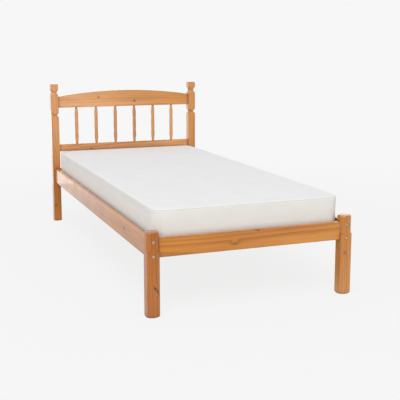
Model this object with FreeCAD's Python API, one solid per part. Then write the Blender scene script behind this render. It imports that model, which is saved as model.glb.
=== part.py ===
import FreeCAD, Part
import math
import os

# A single bed with turned pine posts, a spindle headboard, a low foot end, a slatted
# base and a mattress.  All sizes are in millimetres.
#
# X runs across the bed, Y runs from the foot end (negative) to the headboard
# (positive) and Z is up.  The origin is on the floor, under the middle of the bed.
#
# "side" is -1 for a piece at negative X (left, seen from the foot end) and +1 for
# its partner at positive X.

Vector = FreeCAD.Vector

# ---- Mattress: the bed is built round it --------------------------------------
mattress_width = 900.0
mattress_length = 2000.0
mattress_thickness = 150.0        # to the top of its crown
mattress_corner_radius = 55.0     # seen from above
mattress_roll_radius = 22.0       # rounding along its top and bottom edges
mattress_belly = 2.5              # the sides stand out this much at half height
mattress_crown = 5.0              # the top rises this much towards the middle
mattress_crown_inset = 400.0      # the crown is level this far in from the sides
mattress_rest_gap = 0.3           # the soft underside stays this clear of the slats
mattress_side_gap = 3.0           # between the mattress and each side rail
mattress_end_gap = 3.5            # between the mattress and the rail at each end

# ---- Head posts ---------------------------------------------------------------
head_post_side = 48.0
head_post_height = 885.0
head_post_edge_radius = 4.0
head_post_bottom_round = 8.0      # turned rounding under the post
lower_neck_below_top = 198.0      # the thinnest place, down from the top of the post
lower_neck_reach = 18.0           # from the thinnest place up or down to the full square
upper_neck_below_top = 54.0
upper_neck_reach = 25.0
neck_depth = 6.0                  # the neck's radius is this much under half the side
neck_land = 2.0                   # short straight stretch at the bottom of each neck
finial_bevel_drop = 18.0          # the turned bevel starts this far under the top
finial_top_overhang = 3.0         # its radius at the top is this much over half the side

# ---- Foot posts ---------------------------------------------------------------
foot_post_side = 57.0
foot_post_above_rail = 28.0       # the posts stand this much higher than the side rails
foot_post_edge_radius = 9.5
foot_post_bottom_round = 14.0     # turned rounding under the post
foot_post_turned_overhang = 2.8   # above the stop the radius is this much over half the side
foot_post_stop_below_top = 86.0   # the square corners end at a shoulder here
foot_post_stop_reach = 3.0        # height of the shoulder's slope
foot_post_top_round = 9.0

# ---- Side rails ---------------------------------------------------------------
side_rail_height = 88.0
side_rail_thickness = 24.0
side_rail_top = 342.0             # height above the floor
side_rail_inset = 13.0            # outer face, in from the outer face of the posts
side_rail_edge_radius = 3.0

# ---- Foot rail, and the hidden rail of the same section at the head -----------
end_rail_height = 84.0
end_rail_thickness = 20.0
end_rail_below_side_rail = 1.0    # its top edge, down from the top of the side rails
end_rail_edge_radius = 3.0
foot_rail_setback = 14.5          # front face, back from the front of the foot posts

# ---- Headboard rails ----------------------------------------------------------
headboard_rail_thickness = 22.0
headboard_edge_radius = 2.5
lower_rail_height = 45.0
top_rail_end_height = 70.0        # at the posts
top_rail_end_below_top = 81.0     # its top corner, down from the top of the post
top_rail_rise = 35.0              # the arch adds this in the middle

# ---- Spindles -----------------------------------------------------------------
spindle_count = 6
spindle_end_gap = 118.25          # from a head post to the axis of the first spindle
spindle_clear_length = 237.0      # between the two rails
spindle_neck_radius = 6.5         # where it meets a rail
spindle_swell_radius = 12.0
spindle_swell_reach = 46.0        # from the rail to the fullest place of each end
spindle_groove_radius = 9.4
spindle_groove_reach = 79.0       # from the rail to the middle of the groove
spindle_groove_half_width = 3.5
spindle_shoulder_radius = 10.9    # beside the groove
spindle_middle_radius = 11.8
spindle_taper_share = 0.45        # a middle point of the taper: this share of its length
spindle_taper_fullness = 0.62     # has this share of its growth in radius
spindle_fall_fullness = 0.7       # the same half way from the swelling to the groove
spindle_pin_radius = 6.0
spindle_pin_length = 20.0

# ---- Slatted base -------------------------------------------------------------
deck_below_rail_top = 33.0        # top of the slats, down from the top of the side rails
ledge_width = 30.0
ledge_height = 25.0
ledge_end_gap = 50.0              # keeps the ledge clear of the barrel nuts
ledge_edge_bevel = 1.5
slat_count = 14
slat_width = 70.0
slat_thickness = 18.0
slat_end_clearance = 2.0          # to the inner face of each side rail
slat_edge_radius = 2.0
slat_ledge_margin = 5.0           # from the end of a ledge to the first slat

# ---- Dowels -------------------------------------------------------------------
rail_dowel_radius = 5.0
rail_dowel_depth_in_post = 15.0
rail_dowel_depth_in_rail = 25.0
end_rail_dowel_inset = 25.0       # from the top and bottom edges of the rail
lower_rail_dowel_inset = 12.0
top_rail_dowel_inset = 18.0
side_rail_dowel_radius = 4.0
side_rail_dowel_depth = 20.0      # into the post, and the same into the rail
dowel_end_bevel = 1.0

# ---- Bolts and barrel nuts ----------------------------------------------------
bolt_radius = 3.0
bolt_head_radius = 7.0
bolt_head_thickness = 2.2
bolt_head_bevel = 0.6
bolt_depth_in_rail = 42.0         # how far the bolt's end reaches into the side rail
bolt_below_rail_top = 15.5        # upper bolt
bolt_above_rail_bottom = 11.5     # lower bolt
bolt_recess_depth = 2.5           # the head lies in a shallow round recess
bolt_recess_clearance = 1.0
bolt_hole_clearance = 0.5
bolt_hole_extra_depth = 4.0
socket_across_flats = 4.0
socket_depth = 2.8
barrel_nut_radius = 5.0
barrel_nut_length = 13.0
barrel_nut_from_rail_end = 36.0
barrel_nut_slot_width = 1.6
barrel_nut_slot_depth = 1.4

# ---- Wood screws --------------------------------------------------------------
screw_radius = 2.0
screw_head_radius = 4.0
screw_head_height = 2.4
screw_tip_length = 4.0
screw_recess_width = 1.0          # cross recess in the head
screw_recess_depth = 1.2
slat_screw_length = 35.0
ledge_screw_length = 45.0
screw_sink = 0.4                  # the head lies this far under the surface

# ---- Fits ---------------------------------------------------------------------
glue_clearance = 0.1              # round dowels, pins and screws, on the radius
nut_clearance = 0.1               # round the barrel nuts and inside their thread
turning_margin = 1.0              # the lathe profile passes this far outside a corner
saw_margin = 1.0                  # a cutting tool starts this far outside the wood

# ---- Places worked out from the sizes above -----------------------------------
bed_width = mattress_width + 2 * (mattress_side_gap + side_rail_thickness + side_rail_inset)
mattress_box_length = mattress_length + 2 * mattress_end_gap
head_rail_setback = (head_post_side - end_rail_thickness) / 2
bed_length = (
    foot_rail_setback + end_rail_thickness + mattress_box_length
    + head_post_side - head_rail_setback
)

foot_front = -bed_length / 2
foot_post_back = foot_front + foot_post_side
head_back = bed_length / 2
head_post_front = head_back - head_post_side
foot_post_x = bed_width / 2 - foot_post_side / 2
foot_post_y = foot_front + foot_post_side / 2
head_post_x = bed_width / 2 - head_post_side / 2
head_post_y = head_back - head_post_side / 2
foot_post_inner_x = foot_post_x - foot_post_side / 2
head_post_inner_x = head_post_x - head_post_side / 2

side_rail_outer_x = bed_width / 2 - side_rail_inset
side_rail_inner_x = side_rail_outer_x - side_rail_thickness
side_rail_x = side_rail_outer_x - side_rail_thickness / 2
side_rail_bottom = side_rail_top - side_rail_height
side_rail_dowel_height = side_rail_top - side_rail_height / 2

end_rail_top = side_rail_top - end_rail_below_side_rail
end_rail_bottom = end_rail_top - end_rail_height
foot_post_height = side_rail_top + foot_post_above_rail
foot_rail_y = foot_front + foot_rail_setback + end_rail_thickness / 2
end_rail_dowel_heights = (
    end_rail_bottom + end_rail_dowel_inset,
    end_rail_top - end_rail_dowel_inset,
)
top_rail_bottom = head_post_height - top_rail_end_below_top - top_rail_end_height
lower_rail_top = top_rail_bottom - spindle_clear_length
lower_rail_bottom = lower_rail_top - lower_rail_height
spindle_pitch = 2 * (head_post_inner_x - spindle_end_gap) / (spindle_count - 1)
lower_rail_dowel_heights = (
    lower_rail_bottom + lower_rail_dowel_inset,
    lower_rail_top - lower_rail_dowel_inset,
)
top_rail_dowel_heights = (
    top_rail_bottom + top_rail_dowel_inset,
    top_rail_bottom + top_rail_end_height - top_rail_dowel_inset,
)

deck_height = side_rail_top - deck_below_rail_top
slat_bottom = deck_height - slat_thickness
ledge_bottom = slat_bottom - ledge_height
ledge_inner_x = side_rail_inner_x - ledge_width
ledge_x = side_rail_inner_x - ledge_width / 2
ledge_front = foot_post_back + ledge_end_gap
ledge_back = head_post_front - ledge_end_gap
first_slat_y = ledge_front + slat_ledge_margin + slat_width / 2
last_slat_y = ledge_back - slat_ledge_margin - slat_width / 2
slat_pitch = (last_slat_y - first_slat_y) / (slat_count - 1)
slat_half_length = side_rail_inner_x - slat_end_clearance

foot_rail_back = foot_rail_y + end_rail_thickness / 2
mattress_y = foot_rail_back + mattress_end_gap + mattress_length / 2
mattress_bottom = deck_height + mattress_rest_gap

bolt_x = foot_post_x
bolt_heights = (
    side_rail_bottom + bolt_above_rail_bottom,
    side_rail_top - bolt_below_rail_top,
)
barrel_nut_depth = bolt_x - side_rail_inner_x + barrel_nut_length / 2


# ---- Shared shapes ------------------------------------------------------------
def board(x_range, y_range, z_range):
    """A rectangular block between pairs of lower and upper limits."""
    corner = Vector(x_range[0], y_range[0], z_range[0])
    return Part.makeBox(
        x_range[1] - x_range[0],
        y_range[1] - y_range[0],
        z_range[1] - z_range[0],
        corner,
    )


def edges_along(shape, axis):
    """The straight edges of a block that run along one axis."""
    found = []
    for edge in shape.Edges:
        if not isinstance(edge.Curve, Part.Line):
            continue
        run = edge.Vertexes[-1].Point - edge.Vertexes[0].Point
        if run.cross(axis).Length < 1e-6 * run.Length:
            found.append(edge)
    return found


def rounded_board(x_range, y_range, z_range, axis, radius):
    """A block whose long edges, along the axis, are rounded."""
    block = board(x_range, y_range, z_range)
    return block.makeFillet(radius, edges_along(block, axis))


def rod(radius, start, direction, length):
    """A round rod or hole from a start point along a direction."""
    return Part.makeCylinder(radius, length, start, direction)


def turned_solid(edges):
    """The solid that a closed outline in the XZ plane sweeps round the Z axis."""
    outline = Part.Wire(Part.__sortEdges__(edges))
    face = Part.Face(outline)
    return face.revolve(Vector(0, 0, 0), Vector(0, 0, 1), 360)


def profile_point(radius, height):
    """A point of a turning profile in the XZ plane."""
    return Vector(radius, 0, height)


def straight_profile(points):
    """Straight edges through a list of (radius, height) pairs."""
    edges = []
    for start, end in zip(points, points[1:]):
        edges.append(Part.LineSegment(profile_point(*start), profile_point(*end)).toShape())
    return edges


def arc_profile(start, middle, end):
    """A circular arc through three (radius, height) pairs."""
    return Part.Arc(profile_point(*start), profile_point(*middle), profile_point(*end)).toShape()


def quarter_round(centre, radius, start_angle):
    """A quarter circle of a profile, anticlockwise from an angle in degrees."""
    points = []
    for angle in (start_angle, start_angle + 45, start_angle + 90):
        turn = math.radians(angle)
        points.append((centre[0] + radius * math.cos(turn), centre[1] + radius * math.sin(turn)))
    return arc_profile(*points)


def corner_reach(side, edge_radius):
    """How far the rounded corner of a square post lies from its axis."""
    return (side / 2 - edge_radius) * math.sqrt(2) + edge_radius


def square_post(side, height, edge_radius):
    """A square post on the Z axis with its four upright edges rounded."""
    half = side / 2
    upright = Vector(0, 0, 1)
    return rounded_board((-half, half), (-half, half), (0, height), upright, edge_radius)


# ---- Holes --------------------------------------------------------------------
def rail_dowel_holes(inner_x, rail_y, heights, side):
    """Holes for the dowels of one rail end, in the post and in the rail alike."""
    outward = Vector(side, 0, 0)
    length = rail_dowel_depth_in_rail + rail_dowel_depth_in_post
    radius = rail_dowel_radius + glue_clearance
    holes = []
    for height in heights:
        start = Vector(side * (inner_x - rail_dowel_depth_in_rail), rail_y, height)
        holes.append(rod(radius, start, outward, length))
    return holes


def side_rail_dowel_hole(joint_y, side):
    """The hole across the joint of a side rail and a post."""
    start = Vector(side * side_rail_x, joint_y - side_rail_dowel_depth, side_rail_dowel_height)
    radius = side_rail_dowel_radius + glue_clearance
    return rod(radius, start, Vector(0, 1, 0), 2 * side_rail_dowel_depth)


def bolt_holes(outer_y, inward, post_side, side):
    """Recess and clearance hole of each bolt, from the post's outer end face inward."""
    direction = Vector(0, inward, 0)
    hole_length = post_side + bolt_depth_in_rail + bolt_hole_extra_depth
    holes = []
    for height in bolt_heights:
        face_point = Vector(side * bolt_x, outer_y, height)
        outside = face_point - direction * saw_margin
        recess_radius = bolt_head_radius + bolt_recess_clearance
        holes.append(rod(recess_radius, outside, direction, bolt_recess_depth + saw_margin))
        holes.append(rod(bolt_radius + bolt_hole_clearance, face_point, direction, hole_length))
    return holes


def barrel_nut_holes(side):
    """Holes in the inner face of a side rail, near both of its ends."""
    radius = barrel_nut_radius + nut_clearance
    inner_face_x = side_rail_inner_x - saw_margin
    depth = barrel_nut_depth + nut_clearance + saw_margin
    holes = []
    for nut_y in barrel_nut_places():
        for height in bolt_heights:
            start = Vector(side * inner_face_x, nut_y, height)
            holes.append(rod(radius, start, Vector(side, 0, 0), depth))
    return holes


def barrel_nut_places():
    """Y of the barrel nuts at the foot end and at the head end of a side rail."""
    return (
        foot_post_back + barrel_nut_from_rail_end,
        head_post_front - barrel_nut_from_rail_end,
    )


# ---- Posts --------------------------------------------------------------------
def neck_profile(below_top, reach, full_radius):
    """The V of a turned neck as (radius, height) pairs from below to above."""
    height = head_post_height - below_top
    neck_radius = head_post_side / 2 - neck_depth
    return [
        (full_radius, height - reach),
        (neck_radius, height - neck_land / 2),
        (neck_radius, height + neck_land / 2),
        (full_radius, height + reach),
    ]


def head_post_turning():
    """What the lathe leaves of a head post."""
    full = corner_reach(head_post_side, head_post_edge_radius) + turning_margin
    round_radius = head_post_bottom_round
    bottom_point = (full - round_radius, 0)
    side_points = [(full, round_radius)]
    side_points += neck_profile(lower_neck_below_top, lower_neck_reach, full)
    side_points += neck_profile(upper_neck_below_top, upper_neck_reach, full)
    side_points += [
        (full, head_post_height - finial_bevel_drop),
        (head_post_side / 2 + finial_top_overhang, head_post_height),
        (0, head_post_height),
        (0, 0),
        bottom_point,
    ]
    edges = straight_profile(side_points)
    edges.append(quarter_round((full - round_radius, round_radius), round_radius, -90))
    return turned_solid(edges)


def head_post(side):
    post = square_post(head_post_side, head_post_height, head_post_edge_radius)
    post = post.common(head_post_turning())
    post.translate(Vector(side * head_post_x, head_post_y, 0))
    holes = bolt_holes(head_back, -1, head_post_side, side)
    holes.append(side_rail_dowel_hole(head_post_front, side))
    for heights in (end_rail_dowel_heights, lower_rail_dowel_heights, top_rail_dowel_heights):
        holes += rail_dowel_holes(head_post_inner_x, head_post_y, heights, side)
    return post.cut(holes)


def foot_post_turning():
    """What the lathe leaves of a foot post."""
    full = corner_reach(foot_post_side, foot_post_edge_radius) + turning_margin
    bottom = foot_post_bottom_round
    top = foot_post_top_round
    turned = foot_post_side / 2 + foot_post_turned_overhang
    stop = foot_post_height - foot_post_stop_below_top
    top_start = foot_post_height - top
    edges = straight_profile([
        (full, bottom),
        (full, stop),
        (turned, stop + foot_post_stop_reach),
        (turned, top_start),
    ])
    edges.append(quarter_round((turned - top, top_start), top, 0))
    edges += straight_profile([
        (turned - top, foot_post_height),
        (0, foot_post_height),
        (0, 0),
        (full - bottom, 0),
    ])
    edges.append(quarter_round((full - bottom, bottom), bottom, -90))
    return turned_solid(edges)


def foot_post(side):
    post = square_post(foot_post_side, foot_post_height, foot_post_edge_radius)
    post = post.common(foot_post_turning())
    post.translate(Vector(side * foot_post_x, foot_post_y, 0))
    holes = bolt_holes(foot_front, 1, foot_post_side, side)
    holes.append(side_rail_dowel_hole(foot_post_back, side))
    holes += rail_dowel_holes(foot_post_inner_x, foot_rail_y, end_rail_dowel_heights, side)
    return post.cut(holes)


# ---- Rails --------------------------------------------------------------------
def side_rail(side):
    x_limits = sorted((side * side_rail_inner_x, side * side_rail_outer_x))
    rail = rounded_board(
        x_limits,
        (foot_post_back, head_post_front),
        (side_rail_bottom, side_rail_top),
        Vector(0, 1, 0),
        side_rail_edge_radius,
    )
    holes = bolt_holes(foot_front, 1, foot_post_side, side)
    holes += bolt_holes(head_back, -1, head_post_side, side)
    holes += barrel_nut_holes(side)
    holes.append(side_rail_dowel_hole(foot_post_back, side))
    holes.append(side_rail_dowel_hole(head_post_front, side))
    holes += ledge_screw_holes(side)
    return rail.cut(holes)


def cross_rail(inner_x, rail_y, thickness, z_limits, edge_radius):
    """A straight rail between two posts."""
    return rounded_board(
        (-inner_x, inner_x),
        (rail_y - thickness / 2, rail_y + thickness / 2),
        z_limits,
        Vector(1, 0, 0),
        edge_radius,
    )


def both_ends_dowel_holes(inner_x, rail_y, heights):
    left = rail_dowel_holes(inner_x, rail_y, heights, -1)
    right = rail_dowel_holes(inner_x, rail_y, heights, 1)
    return left + right


def foot_rail():
    z_limits = (end_rail_bottom, end_rail_top)
    rail = cross_rail(
        foot_post_inner_x, foot_rail_y, end_rail_thickness, z_limits, end_rail_edge_radius
    )
    return rail.cut(both_ends_dowel_holes(foot_post_inner_x, foot_rail_y, end_rail_dowel_heights))


def head_base_rail():
    z_limits = (end_rail_bottom, end_rail_top)
    rail = cross_rail(
        head_post_inner_x, head_post_y, end_rail_thickness, z_limits, end_rail_edge_radius
    )
    return rail.cut(both_ends_dowel_holes(head_post_inner_x, head_post_y, end_rail_dowel_heights))


def headboard_lower_rail():
    z_limits = (lower_rail_bottom, lower_rail_top)
    rail = cross_rail(
        head_post_inner_x, head_post_y, headboard_rail_thickness, z_limits, headboard_edge_radius
    )
    holes = both_ends_dowel_holes(head_post_inner_x, head_post_y, lower_rail_dowel_heights)
    holes += spindle_pin_holes(lower_rail_top, -1)
    return rail.cut(holes)


def headboard_top_rail():
    """The arched rail: level below, a circular arc above."""
    half = head_post_inner_x
    front = head_post_y - headboard_rail_thickness / 2
    end_top = top_rail_bottom + top_rail_end_height
    bottom_left = Vector(-half, front, top_rail_bottom)
    bottom_right = Vector(half, front, top_rail_bottom)
    top_right = Vector(half, front, end_top)
    top_left = Vector(-half, front, end_top)
    crest = Vector(0, front, end_top + top_rail_rise)
    outline = Part.Wire([
        Part.LineSegment(bottom_left, bottom_right).toShape(),
        Part.LineSegment(bottom_right, top_right).toShape(),
        Part.Arc(top_right, crest, top_left).toShape(),
        Part.LineSegment(top_left, bottom_left).toShape(),
    ])
    rail = Part.Face(outline).extrude(Vector(0, headboard_rail_thickness, 0))
    long_edges = [edge for edge in rail.Edges if edge.Length > half]
    rail = rail.makeFillet(headboard_edge_radius, long_edges)
    holes = both_ends_dowel_holes(head_post_inner_x, head_post_y, top_rail_dowel_heights)
    holes += spindle_pin_holes(top_rail_bottom, 1)
    return rail.cut(holes)


# ---- Spindles -----------------------------------------------------------------
def spindle_places():
    """X of each spindle, evenly spaced about the middle of the headboard."""
    first = spindle_end_gap - head_post_inner_x
    return [first + spindle_pitch * index for index in range(spindle_count)]


def spindle_pin_holes(face_height, direction):
    """Holes for the spindle pins, up or down from the face of a headboard rail."""
    radius = spindle_pin_radius + glue_clearance
    holes = []
    for place in spindle_places():
        start = Vector(place, head_post_y, face_height)
        holes.append(rod(radius, start, Vector(0, 0, direction), spindle_pin_length + glue_clearance))
    return holes


def spindle_end_profile(height_at):
    """Pin, neck, swelling and groove of one end, measured in from its rail."""
    groove_near = spindle_groove_reach - spindle_groove_half_width
    groove_far = spindle_groove_reach + spindle_groove_half_width
    taper_growth = spindle_swell_radius - spindle_neck_radius
    taper_middle = spindle_swell_reach * spindle_taper_share
    taper_radius = spindle_neck_radius + taper_growth * spindle_taper_fullness
    fall_growth = spindle_swell_radius - spindle_shoulder_radius
    fall_middle = (spindle_swell_reach + groove_near) / 2
    fall_radius = spindle_shoulder_radius + fall_growth * spindle_fall_fullness
    edges = straight_profile([
        (0, height_at(-spindle_pin_length)),
        (spindle_pin_radius, height_at(-spindle_pin_length)),
        (spindle_pin_radius, height_at(0)),
        (spindle_neck_radius, height_at(0)),
    ])
    edges.append(arc_profile(
        (spindle_neck_radius, height_at(0)),
        (taper_radius, height_at(taper_middle)),
        (spindle_swell_radius, height_at(spindle_swell_reach)),
    ))
    edges.append(arc_profile(
        (spindle_swell_radius, height_at(spindle_swell_reach)),
        (fall_radius, height_at(fall_middle)),
        (spindle_shoulder_radius, height_at(groove_near)),
    ))
    edges += straight_profile([
        (spindle_shoulder_radius, height_at(groove_near)),
        (spindle_groove_radius, height_at(spindle_groove_reach)),
        (spindle_shoulder_radius, height_at(groove_far)),
    ])
    return edges


def spindle(place):
    """One turned spindle, the same at both ends, with a pin in each rail."""
    groove_far = spindle_groove_reach + spindle_groove_half_width
    edges = spindle_end_profile(lambda reach: lower_rail_top + reach)
    edges += spindle_end_profile(lambda reach: top_rail_bottom - reach)
    edges.append(arc_profile(
        (spindle_shoulder_radius, lower_rail_top + groove_far),
        (spindle_middle_radius, (lower_rail_top + top_rail_bottom) / 2),
        (spindle_shoulder_radius, top_rail_bottom - groove_far),
    ))
    edges += straight_profile([
        (0, lower_rail_top - spindle_pin_length),
        (0, top_rail_bottom + spindle_pin_length),
    ])
    piece = turned_solid(edges)
    piece.translate(Vector(place, head_post_y, 0))
    return piece


# ---- Slatted base -------------------------------------------------------------
def slat_places():
    """Y of the middle of each slat."""
    return [first_slat_y + slat_pitch * index for index in range(slat_count)]


def ledge_screw_places():
    """Half way between the slats, at every other gap, clear of the slat screws."""
    places = slat_places()
    return [(places[index] + places[index + 1]) / 2 for index in range(0, slat_count - 1, 2)]


def screw_outline(length, clearance):
    """Solid of a countersunk screw on the Z axis, point down, or of its hole."""
    shank = screw_radius + clearance
    head = screw_head_radius + clearance
    tip_start = clearance - length + screw_tip_length
    edges = straight_profile([
        (0, -length - clearance),
        (shank, tip_start - 2 * clearance),
        (shank, -screw_head_height),
        (head, 0),
        (0, 0),
        (0, -length - clearance),
    ])
    return turned_solid(edges)


def cross_recess():
    """The cross cut in the head of a screw."""
    arm = screw_head_radius / 2
    half = screw_recess_width / 2
    one = board((-arm, arm), (-half, half), (-screw_recess_depth, saw_margin))
    other = board((-half, half), (-arm, arm), (-screw_recess_depth, saw_margin))
    return [one, other]


def slat_screw_heads():
    """Where the slat screws start, in pairs for each slat."""
    height = deck_height - screw_sink
    return [Vector(side * ledge_x, place, height) for place in slat_places() for side in (-1, 1)]


def ledge_screw_heads(side):
    height = ledge_bottom + ledge_height / 2
    head_x = side * (ledge_inner_x + screw_sink)
    return [Vector(head_x, place, height) for place in ledge_screw_places()]


def sink_hole(start, outward):
    """The short round hole that lets a screw head lie under the surface."""
    return rod(screw_head_radius + glue_clearance, start, outward, screw_sink + saw_margin)


def slat_screw_holes(heads):
    holes = []
    for head in heads:
        hole = screw_outline(slat_screw_length, glue_clearance)
        hole.translate(head)
        holes.append(hole)
        holes.append(sink_hole(head, Vector(0, 0, 1)))
    return holes


def lay_towards_side(shape, side):
    """Turn a screw that points down so that it points outwards to one side."""
    shape.rotate(Vector(0, 0, 0), Vector(0, 1, 0), -90 * side)
    return shape


def ledge_screw_holes(side):
    holes = []
    for head in ledge_screw_heads(side):
        hole = lay_towards_side(screw_outline(ledge_screw_length, glue_clearance), side)
        hole.translate(head)
        holes.append(hole)
        holes.append(sink_hole(head, Vector(-side, 0, 0)))
    return holes


def slat_ledge(side):
    x_limits = sorted((side * ledge_inner_x, side * side_rail_inner_x))
    ledge = board(x_limits, (ledge_front, ledge_back), (ledge_bottom, slat_bottom))
    inner_edges = []
    for edge in edges_along(ledge, Vector(0, 1, 0)):
        if abs(edge.CenterOfMass.x) < ledge_x:
            inner_edges.append(edge)
    ledge = ledge.makeChamfer(ledge_edge_bevel, inner_edges)
    screw_heads = [head for head in slat_screw_heads() if head.x * side > 0]
    return ledge.cut(slat_screw_holes(screw_heads) + ledge_screw_holes(side))


def slat(place):
    piece = rounded_board(
        (-slat_half_length, slat_half_length),
        (place - slat_width / 2, place + slat_width / 2),
        (slat_bottom, deck_height),
        Vector(1, 0, 0),
        slat_edge_radius,
    )
    screw_heads = [head for head in slat_screw_heads() if abs(head.y - place) < slat_width / 2]
    return piece.cut(slat_screw_holes(screw_heads))


# ---- Mattress -----------------------------------------------------------------
def rounded_rectangle(half_width, half_length, radius, height):
    """A level outline of four straight sides and four quarter circles."""
    arcs = []
    for quarter, (side_x, side_y) in enumerate(((1, 1), (-1, 1), (-1, -1), (1, -1))):
        centre = Vector(
            side_x * (half_width - radius),
            mattress_y + side_y * (half_length - radius),
            height,
        )
        points = []
        for step in range(3):
            turn = math.pi / 2 * (quarter + step / 2)
            points.append(centre + Vector(math.cos(turn), math.sin(turn), 0) * radius)
        arcs.append(points)
    edges = []
    for index, points in enumerate(arcs):
        next_start = arcs[(index + 1) % len(arcs)][0]
        edges.append(Part.Arc(*points).toShape())
        edges.append(Part.LineSegment(points[-1], next_start).toShape())
    return Part.Wire(edges)


def mattress_levels():
    """(height, inset) of the mattress outline, from its underside to its crown."""
    roll_steps = 5
    side_steps = 6
    crown_steps = 6
    edge_inset = mattress_belly + mattress_roll_radius
    side_bottom = mattress_roll_radius
    side_top = mattress_thickness - mattress_crown - mattress_roll_radius
    levels = []
    for step in range(roll_steps):
        turn = math.pi / 2 * step / roll_steps
        height = side_bottom - mattress_roll_radius * math.cos(turn)
        levels.append((height, edge_inset - mattress_roll_radius * math.sin(turn)))
    for step in range(side_steps + 1):
        share = step / side_steps
        height = side_bottom + (side_top - side_bottom) * share
        levels.append((height, mattress_belly * (2 * share - 1) ** 2))
    for step in range(1, roll_steps + 1):
        turn = math.pi / 2 * step / roll_steps
        height = side_top + mattress_roll_radius * math.sin(turn)
        levels.append((height, edge_inset - mattress_roll_radius * math.cos(turn)))
    for step in range(1, crown_steps + 1):
        share = step / crown_steps
        height = mattress_thickness - mattress_crown * (1 - share) ** 2
        levels.append((height, edge_inset + (mattress_crown_inset - edge_inset) * share))
    return levels


def mattress():
    half_width = mattress_width / 2
    half_length = mattress_length / 2
    outlines = []
    for height, inset in mattress_levels():
        radius = mattress_corner_radius * (1 - inset / half_width)
        level = mattress_bottom + height
        outlines.append(rounded_rectangle(half_width - inset, half_length - inset, radius, level))
    return Part.makeLoft(outlines, True, True)


# ---- Fasteners ----------------------------------------------------------------
def bevelled_dowel(radius, start, direction, length):
    """A wooden dowel with a small bevel at both ends."""
    dowel = rod(radius, start, direction, length)
    ends = [edge for edge in dowel.Edges if isinstance(edge.Curve, Part.Circle)]
    return dowel.makeChamfer(dowel_end_bevel, ends)


def rail_dowels(inner_x, rail_y, heights):
    """The dowels at both ends of one cross rail."""
    length = rail_dowel_depth_in_rail + rail_dowel_depth_in_post
    dowels = []
    for side in (-1, 1):
        for height in heights:
            start = Vector(side * (inner_x - rail_dowel_depth_in_rail), rail_y, height)
            dowels.append(bevelled_dowel(rail_dowel_radius, start, Vector(side, 0, 0), length))
    return dowels


def side_rail_dowels():
    dowels = []
    for side in (-1, 1):
        for joint_y in (foot_post_back, head_post_front):
            start = Vector(side * side_rail_x, joint_y - side_rail_dowel_depth, side_rail_dowel_height)
            length = 2 * side_rail_dowel_depth
            dowels.append(bevelled_dowel(side_rail_dowel_radius, start, Vector(0, 1, 0), length))
    return dowels


def hexagon_socket():
    """The socket in a bolt head, on the Z axis, open at the top."""
    corner_count = 6
    radius = socket_across_flats / 2 / math.cos(math.pi / corner_count)
    points = []
    for corner in range(corner_count + 1):
        turn = 2 * math.pi * corner / corner_count
        points.append(Vector(radius * math.cos(turn), radius * math.sin(turn), -socket_depth))
    face = Part.Face(Part.makePolygon(points))
    return face.extrude(Vector(0, 0, socket_depth + saw_margin))


def bolt(length):
    """A flat-headed bolt on the Z axis, its head's top face at the origin, shank down."""
    head_bottom = -bolt_head_thickness
    edges = straight_profile([
        (0, 0),
        (bolt_head_radius - bolt_head_bevel, 0),
        (bolt_head_radius, -bolt_head_bevel),
        (bolt_head_radius, head_bottom),
        (bolt_radius, head_bottom),
        (bolt_radius, head_bottom - length),
        (0, head_bottom - length),
        (0, 0),
    ])
    return turned_solid(edges).cut(hexagon_socket())


def post_bolts(outer_y, inward, post_side):
    """Two bolts through each of two posts, with their heads in the recesses."""
    length = post_side - bolt_recess_depth + bolt_depth_in_rail
    head_top_y = outer_y + inward * (bolt_recess_depth - bolt_head_thickness)
    bolts = []
    for side in (-1, 1):
        for height in bolt_heights:
            piece = bolt(length)
            piece.rotate(Vector(0, 0, 0), Vector(1, 0, 0), 90 * inward)
            piece.translate(Vector(side * bolt_x, head_top_y, height))
            bolts.append(piece)
    return bolts


def barrel_nuts():
    """Cross dowels of steel in the side rails, one for each bolt."""
    nuts = []
    for side in (-1, 1):
        for nut_y in barrel_nut_places():
            for height in bolt_heights:
                near_x = bolt_x - barrel_nut_length / 2
                start = Vector(side * near_x, nut_y, height)
                outward = Vector(side, 0, 0)
                nut = rod(barrel_nut_radius, start, outward, barrel_nut_length)
                thread_start = Vector(side * bolt_x, nut_y - 2 * barrel_nut_radius, height)
                thread_radius = bolt_radius + nut_clearance
                thread = rod(thread_radius, thread_start, Vector(0, 1, 0), 4 * barrel_nut_radius)
                slot_x = sorted((
                    side * (near_x - saw_margin),
                    side * (near_x + barrel_nut_slot_depth),
                ))
                slot = board(
                    slot_x,
                    (nut_y - 2 * barrel_nut_radius, nut_y + 2 * barrel_nut_radius),
                    (height - barrel_nut_slot_width / 2, height + barrel_nut_slot_width / 2),
                )
                nuts.append(nut.cut([thread, slot]))
    return nuts


def wood_screw(length):
    """A countersunk screw on the Z axis with its head's top face at the origin."""
    return screw_outline(length, 0).cut(cross_recess())


def slat_screws():
    screws = []
    for head in slat_screw_heads():
        screw = wood_screw(slat_screw_length)
        screw.translate(head)
        screws.append(screw)
    return screws


def ledge_screws():
    screws = []
    for side in (-1, 1):
        for head in ledge_screw_heads(side):
            screw = lay_towards_side(wood_screw(ledge_screw_length), side)
            screw.translate(head)
            screws.append(screw)
    return screws


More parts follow.
